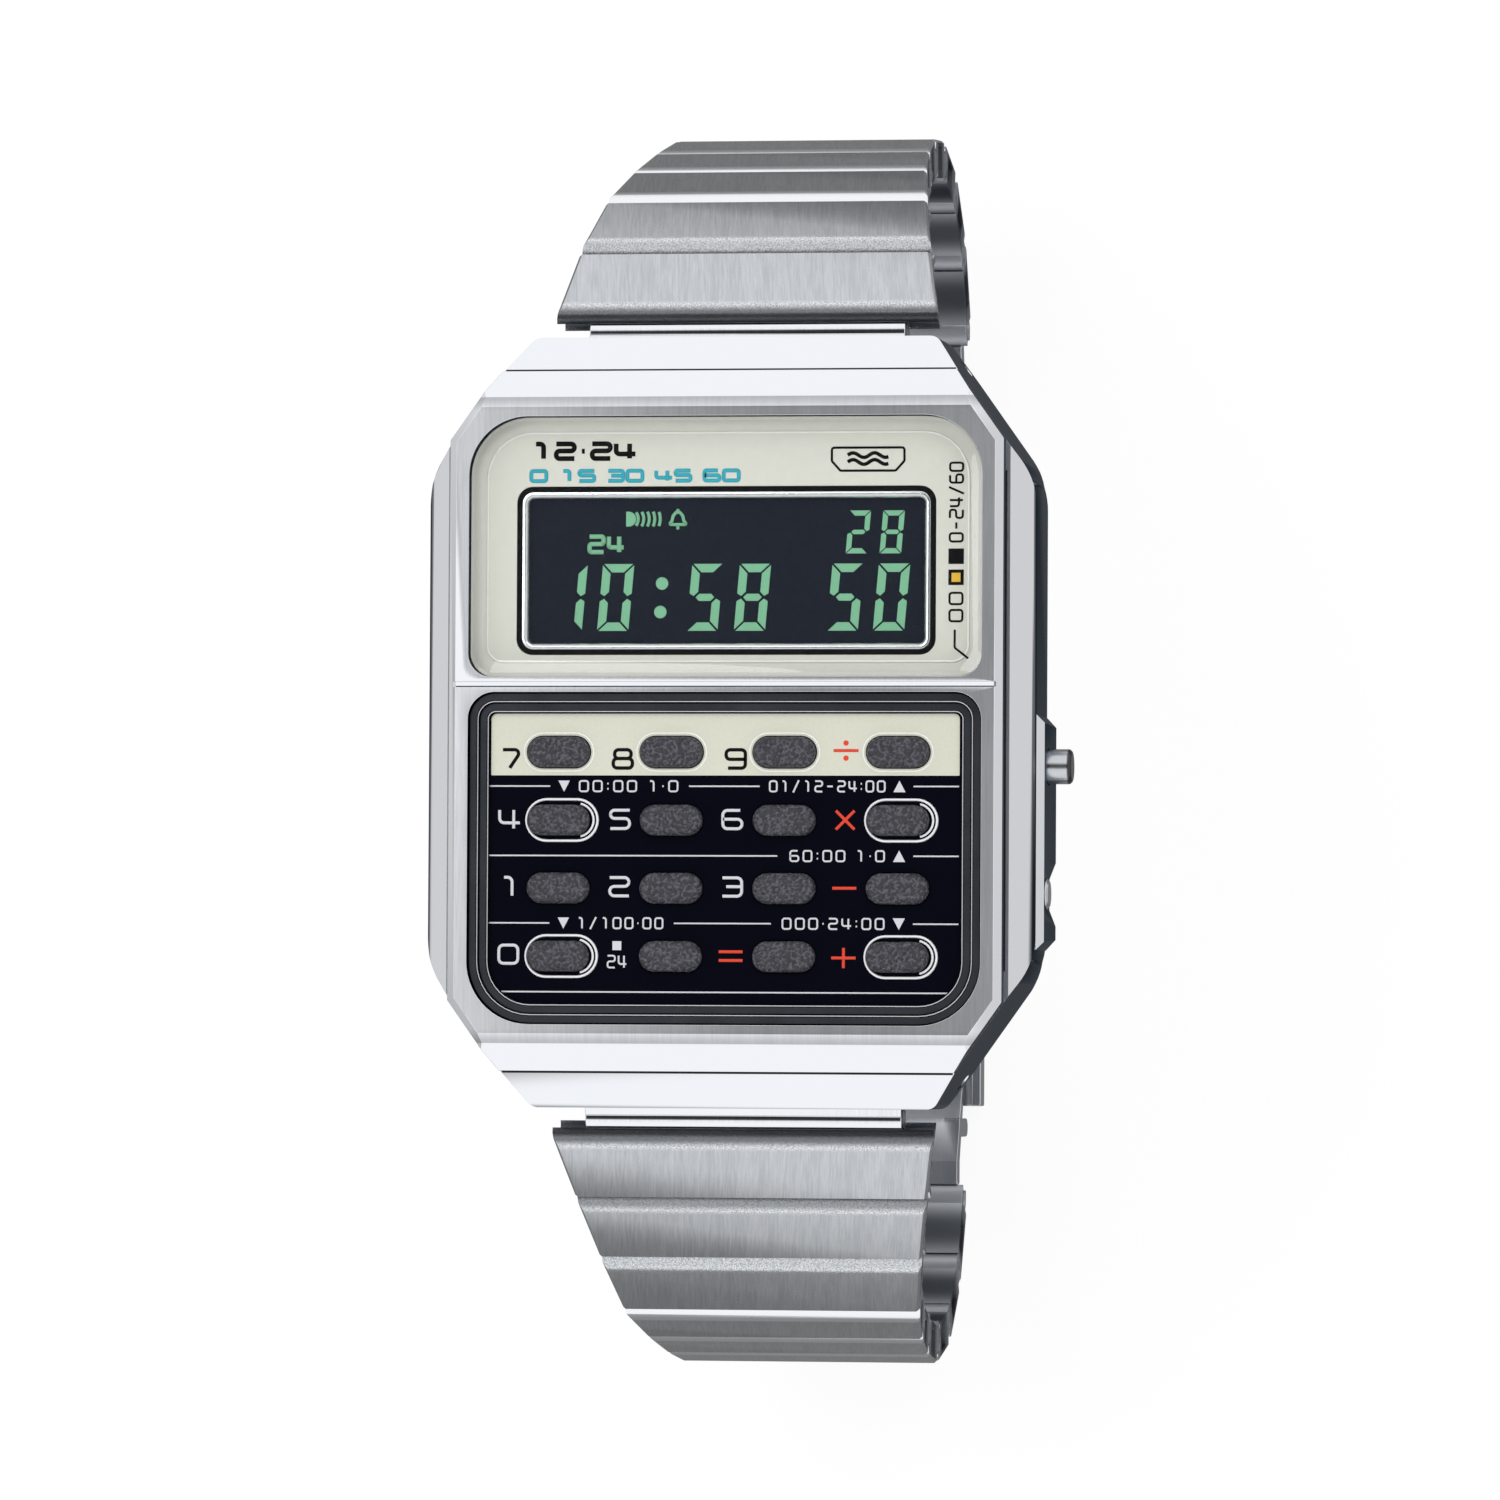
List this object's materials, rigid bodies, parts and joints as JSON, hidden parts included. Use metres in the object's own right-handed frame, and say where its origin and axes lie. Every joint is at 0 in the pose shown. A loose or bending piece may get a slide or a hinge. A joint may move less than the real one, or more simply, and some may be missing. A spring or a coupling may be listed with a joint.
{
  "type": "calculator watch",
  "caption": "Square digital wristwatch with a display window above a calculator keypad, side pushers and a closed steel link bracelet.",
  "frame": {"origin": "middle of the flat outside of the clasp cover, in the bracelet's symmetry plane and below the middle of the case", "axes": "+Z out of the dial, +Y towards twelve o'clock, +X towards three o'clock"},
  "size_m": [0.0361, 0.0722, 0.0507],
  "materials": {
    "plated_resin": "chrome plated resin, polished",
    "plated_bezel": "chrome plated resin, polished",
    "crystal": "clear, bevelled edge",
    "cream_dial": "printed, satin",
    "silver_frame": "silver print with black line",
    "display_glass": "dark reversed liquid crystal",
    "keypad_gloss": "gloss black",
    "key_resin": "fine grain",
    "rubber_sheet": "matt",
    "rubber_seal": "matt",
    "board_green": "solder resist",
    "black_resin": "moulded",
    "cell_steel": "nickel plated",
    "spring_steel": "bright",
    "brass_disc": "plain",
    "back_steel": "brushed along the band",
    "screw_steel": "turned",
    "pin_steel": "turned",
    "pusher_steel": "turned, dark end",
    "link_steel": "brushed along the band, satin nose",
    "clasp_steel": "brushed along the band"
  },
  "bodies": {
    "case": {"case_body": "plated_resin", "bezel": "plated_bezel", "display_crystal": "crystal", "dial_mask": "cream_dial", "display_frame": "silver_frame", "lcd_panel": "display_glass", "keypad_plate": "keypad_gloss", "keypad_membrane": "rubber_sheet", "circuit_board": "board_green", "module_frame": "black_resin", "battery": "cell_steel", "battery_clip": "spring_steel", "buzzer_disc": "brass_disc", "caseback": "back_steel", "caseback_gasket": "rubber_seal", "caseback_screws": "screw_steel", "spring_bars": "pin_steel", "mode_button_spring": "spring_steel", "adjust_button_spring": "spring_steel"},
    "key_7": {"key_7": "key_resin"},
    "key_8": {"key_8": "key_resin"},
    "key_9": {"key_9": "key_resin"},
    "key_divide": {"key_divide": "key_resin"},
    "key_4": {"key_4": "key_resin"},
    "key_5": {"key_5": "key_resin"},
    "key_6": {"key_6": "key_resin"},
    "key_multiply": {"key_multiply": "key_resin"},
    "key_1": {"key_1": "key_resin"},
    "key_2": {"key_2": "key_resin"},
    "key_3": {"key_3": "key_resin"},
    "key_minus": {"key_minus": "key_resin"},
    "key_0": {"key_0": "key_resin"},
    "key_point": {"key_point": "key_resin"},
    "key_equals": {"key_equals": "key_resin"},
    "key_plus": {"key_plus": "key_resin"},
    "mode_button": {"mode_button": "pusher_steel"},
    "adjust_button": {"adjust_button": "pusher_steel"},
    "end_link_12": {"end_link_12": "link_steel"},
    "link_12_1": {"link_12_1": "link_steel"},
    "link_12_2": {"link_12_2": "link_steel"},
    "link_12_3": {"link_12_3": "link_steel"},
    "link_12_4": {"link_12_4": "link_steel"},
    "link_12_5": {"link_12_5": "link_steel"},
    "link_12_6": {"link_12_6": "link_steel"},
    "link_12_7": {"link_12_7": "link_steel"},
    "link_12_8": {"link_12_8": "link_steel"},
    "link_12_9": {"link_12_9": "link_steel"},
    "clasp_catch": {"clasp_catch": "clasp_steel"},
    "end_link_6": {"end_link_6": "link_steel"},
    "link_6_1": {"link_6_1": "link_steel"},
    "link_6_2": {"link_6_2": "link_steel"},
    "link_6_3": {"link_6_3": "link_steel"},
    "link_6_4": {"link_6_4": "link_steel"},
    "link_6_5": {"link_6_5": "link_steel"},
    "link_6_6": {"link_6_6": "link_steel"},
    "link_6_7": {"link_6_7": "link_steel"},
    "link_6_8": {"link_6_8": "link_steel"},
    "link_6_9": {"link_6_9": "link_steel"},
    "clasp_base": {"clasp_base": "clasp_steel"},
    "clasp_cover": {"clasp_cover": "clasp_steel"}
  },
  "joints": [
    {"name": "key_7_press", "type": "slide", "parent": "case", "child": "key_7", "axis": [0, 0, -1], "range_m": [0, 0.0004], "stiffness_N_per_m": 400, "springref_m": -0.0005},
    {"name": "key_8_press", "type": "slide", "parent": "case", "child": "key_8", "axis": [0, 0, -1], "range_m": [0, 0.0004], "stiffness_N_per_m": 400, "springref_m": -0.0005},
    {"name": "key_9_press", "type": "slide", "parent": "case", "child": "key_9", "axis": [0, 0, -1], "range_m": [0, 0.0004], "stiffness_N_per_m": 400, "springref_m": -0.0005},
    {"name": "key_divide_press", "type": "slide", "parent": "case", "child": "key_divide", "axis": [0, 0, -1], "range_m": [0, 0.0004], "stiffness_N_per_m": 400, "springref_m": -0.0005},
    {"name": "key_4_press", "type": "slide", "parent": "case", "child": "key_4", "axis": [0, 0, -1], "range_m": [0, 0.0004], "stiffness_N_per_m": 400, "springref_m": -0.0005},
    {"name": "key_5_press", "type": "slide", "parent": "case", "child": "key_5", "axis": [0, 0, -1], "range_m": [0, 0.0004], "stiffness_N_per_m": 400, "springref_m": -0.0005},
    {"name": "key_6_press", "type": "slide", "parent": "case", "child": "key_6", "axis": [0, 0, -1], "range_m": [0, 0.0004], "stiffness_N_per_m": 400, "springref_m": -0.0005},
    {"name": "key_multiply_press", "type": "slide", "parent": "case", "child": "key_multiply", "axis": [0, 0, -1], "range_m": [0, 0.0004], "stiffness_N_per_m": 400, "springref_m": -0.0005},
    {"name": "key_1_press", "type": "slide", "parent": "case", "child": "key_1", "axis": [0, 0, -1], "range_m": [0, 0.0004], "stiffness_N_per_m": 400, "springref_m": -0.0005},
    {"name": "key_2_press", "type": "slide", "parent": "case", "child": "key_2", "axis": [0, 0, -1], "range_m": [0, 0.0004], "stiffness_N_per_m": 400, "springref_m": -0.0005},
    {"name": "key_3_press", "type": "slide", "parent": "case", "child": "key_3", "axis": [0, 0, -1], "range_m": [0, 0.0004], "stiffness_N_per_m": 400, "springref_m": -0.0005},
    {"name": "key_minus_press", "type": "slide", "parent": "case", "child": "key_minus", "axis": [0, 0, -1], "range_m": [0, 0.0004], "stiffness_N_per_m": 400, "springref_m": -0.0005},
    {"name": "key_0_press", "type": "slide", "parent": "case", "child": "key_0", "axis": [0, 0, -1], "range_m": [0, 0.0004], "stiffness_N_per_m": 400, "springref_m": -0.0005},
    {"name": "key_point_press", "type": "slide", "parent": "case", "child": "key_point", "axis": [0, 0, -1], "range_m": [0, 0.0004], "stiffness_N_per_m": 400, "springref_m": -0.0005},
    {"name": "key_equals_press", "type": "slide", "parent": "case", "child": "key_equals", "axis": [0, 0, -1], "range_m": [0, 0.0004], "stiffness_N_per_m": 400, "springref_m": -0.0005},
    {"name": "key_plus_press", "type": "slide", "parent": "case", "child": "key_plus", "axis": [0, 0, -1], "range_m": [0, 0.0004], "stiffness_N_per_m": 400, "springref_m": -0.0005},
    {"name": "mode_button_press", "type": "slide", "parent": "case", "child": "mode_button", "axis": [-1, 0, 0], "range_m": [0, 0.0007], "stiffness_N_per_m": 500, "springref_m": -0.0006, "deforming": ["mode_button_spring"]},
    {"name": "adjust_button_press", "type": "slide", "parent": "case", "child": "adjust_button", "axis": [-1, 0, 0], "range_m": [0, 0.0007], "stiffness_N_per_m": 500, "springref_m": -0.0006, "deforming": ["adjust_button_spring"]},
    {"name": "end_link_12_hinge", "type": "hinge", "parent": "case", "child": "end_link_12", "pos_m": [0, 0.0201, 0.04208], "axis": [1, 0, 0], "range_deg": [0, 8.03]},
    {"name": "link_12_1_hinge", "type": "hinge", "parent": "end_link_12", "child": "link_12_1", "pos_m": [0, 0.02218, 0.04179], "axis": [1, 0, 0], "range_deg": [0, 31]},
    {"name": "link_12_2_hinge", "type": "hinge", "parent": "link_12_1", "child": "link_12_2", "pos_m": [0, 0.02607, 0.03864], "axis": [1, 0, 0], "range_deg": [0, 14.54]},
    {"name": "link_12_3_hinge", "type": "hinge", "parent": "link_12_2", "child": "link_12_3", "pos_m": [0, 0.02904, 0.03462], "axis": [1, 0, 0], "range_deg": [0, 14.04]},
    {"name": "link_12_4_hinge", "type": "hinge", "parent": "link_12_3", "child": "link_12_4", "pos_m": [0, 0.03095, 0.03], "axis": [1, 0, 0], "range_deg": [0, 5.52]},
    {"name": "link_12_5_hinge", "type": "hinge", "parent": "link_12_4", "child": "link_12_5", "pos_m": [0, 0.03241, 0.02522], "axis": [1, 0, 0], "range_deg": [0, 4.02]},
    {"name": "link_12_6_hinge", "type": "hinge", "parent": "link_12_5", "child": "link_12_6", "pos_m": [0, 0.03354, 0.02035], "axis": [1, 0, 0], "range_deg": [0, 9.03]},
    {"name": "link_12_7_hinge", "type": "hinge", "parent": "link_12_6", "child": "link_12_7", "pos_m": [0, 0.03389, 0.01536], "axis": [1, 0, 0], "range_deg": [0, 19.05]},
    {"name": "link_12_8_hinge", "type": "hinge", "parent": "link_12_7", "child": "link_12_8", "pos_m": [0, 0.03259, 0.01053], "axis": [1, 0, 0], "range_deg": [0, 24.06]},
    {"name": "link_12_9_hinge", "type": "hinge", "parent": "link_12_8", "child": "link_12_9", "pos_m": [0, 0.02945, 0.00665], "axis": [1, 0, 0], "range_deg": [0, 23.06]},
    {"name": "clasp_catch_hinge", "type": "hinge", "parent": "link_12_9", "child": "clasp_catch", "pos_m": [0, 0.02503, 0.0043], "axis": [1, 0, 0], "range_deg": [0, 13.04]},
    {"name": "end_link_6_hinge", "type": "hinge", "parent": "case", "child": "end_link_6", "pos_m": [0, -0.0201, 0.04208], "axis": [-1, 0, 0], "range_deg": [0, 8.03]},
    {"name": "link_6_1_hinge", "type": "hinge", "parent": "end_link_6", "child": "link_6_1", "pos_m": [0, -0.02218, 0.04179], "axis": [-1, 0, 0], "range_deg": [0, 35.58]},
    {"name": "link_6_2_hinge", "type": "hinge", "parent": "link_6_1", "child": "link_6_2", "pos_m": [0, -0.02581, 0.03835], "axis": [-1, 0, 0], "range_deg": [0, 4.02]},
    {"name": "link_6_3_hinge", "type": "hinge", "parent": "link_6_2", "child": "link_6_3", "pos_m": [0, -0.02918, 0.03466], "axis": [-1, 0, 0], "range_deg": [0, 6.52]},
    {"name": "link_6_4_hinge", "type": "hinge", "parent": "link_6_3", "child": "link_6_4", "pos_m": [0, -0.03212, 0.03062], "axis": [-1, 0, 0], "range_deg": [0, 20.05]},
    {"name": "link_6_5_hinge", "type": "hinge", "parent": "link_6_4", "child": "link_6_5", "pos_m": [0, -0.0335, 0.02581], "axis": [-1, 0, 0], "range_deg": [0, 4.52]},
    {"name": "link_6_6_hinge", "type": "hinge", "parent": "link_6_5", "child": "link_6_6", "pos_m": [0, -0.0345, 0.02091], "axis": [-1, 0, 0], "range_deg": [0, 4.52]},
    {"name": "link_6_7_hinge", "type": "hinge", "parent": "link_6_6", "child": "link_6_7", "pos_m": [0, -0.03511, 0.01595], "axis": [-1, 0, 0], "range_deg": [0, 17.04]},
    {"name": "link_6_8_hinge", "type": "hinge", "parent": "link_6_7", "child": "link_6_8", "pos_m": [0, -0.03424, 0.01102], "axis": [-1, 0, 0], "range_deg": [0, 25.06]},
    {"name": "link_6_9_hinge", "type": "hinge", "parent": "link_6_8", "child": "link_6_9", "pos_m": [0, -0.03137, 0.00693], "axis": [-1, 0, 0], "range_deg": [0, 23.35]},
    {"name": "clasp_base_hinge", "type": "hinge", "parent": "link_6_9", "child": "clasp_base", "pos_m": [0, -0.02712, 0.0043], "axis": [-1, 0, 0], "range_deg": [0, 31.78]},
    {"name": "clasp_cover_hinge", "type": "hinge", "parent": "clasp_base", "child": "clasp_cover", "pos_m": [0, -0.02292, 0.00055], "axis": [-1, 0, 0], "range_deg": [0, 110.23]}
  ],
  "couplings": [
    {"joint": "end_link_12_hinge", "follows": "link_12_1_hinge", "ratio": 0.25806},
    {"joint": "link_12_2_hinge", "follows": "link_12_1_hinge", "ratio": 0.46774},
    {"joint": "link_12_3_hinge", "follows": "link_12_1_hinge", "ratio": 0.45161},
    {"joint": "link_12_4_hinge", "follows": "link_12_1_hinge", "ratio": 0.17742},
    {"joint": "link_12_5_hinge", "follows": "link_12_1_hinge", "ratio": 0.12903},
    {"joint": "link_12_6_hinge", "follows": "link_12_1_hinge", "ratio": 0.29032},
    {"joint": "link_12_7_hinge", "follows": "link_12_1_hinge", "ratio": 0.6129},
    {"joint": "link_12_8_hinge", "follows": "link_12_1_hinge", "ratio": 0.77419},
    {"joint": "link_12_9_hinge", "follows": "link_12_1_hinge", "ratio": 0.74194},
    {"joint": "clasp_catch_hinge", "follows": "link_12_1_hinge", "ratio": 0.41935},
    {"joint": "end_link_6_hinge", "follows": "link_12_1_hinge", "ratio": 0.25806},
    {"joint": "link_6_1_hinge", "follows": "link_12_1_hinge", "ratio": 1.1452},
    {"joint": "link_6_2_hinge", "follows": "link_12_1_hinge", "ratio": 0.12903},
    {"joint": "link_6_3_hinge", "follows": "link_12_1_hinge", "ratio": 0.20968},
    {"joint": "link_6_4_hinge", "follows": "link_12_1_hinge", "ratio": 0.64516},
    {"joint": "link_6_5_hinge", "follows": "link_12_1_hinge", "ratio": 0.14516},
    {"joint": "link_6_6_hinge", "follows": "link_12_1_hinge", "ratio": 0.14516},
    {"joint": "link_6_7_hinge", "follows": "link_12_1_hinge", "ratio": 0.54839},
    {"joint": "link_6_8_hinge", "follows": "link_12_1_hinge", "ratio": 0.80645},
    {"joint": "link_6_9_hinge", "follows": "link_12_1_hinge", "ratio": 0.75156},
    {"joint": "clasp_base_hinge", "follows": "link_12_1_hinge", "ratio": 1.0226},
    {"joint": "clasp_cover_hinge", "follows": "link_12_1_hinge", "ratio": 3.5484}
  ]
}
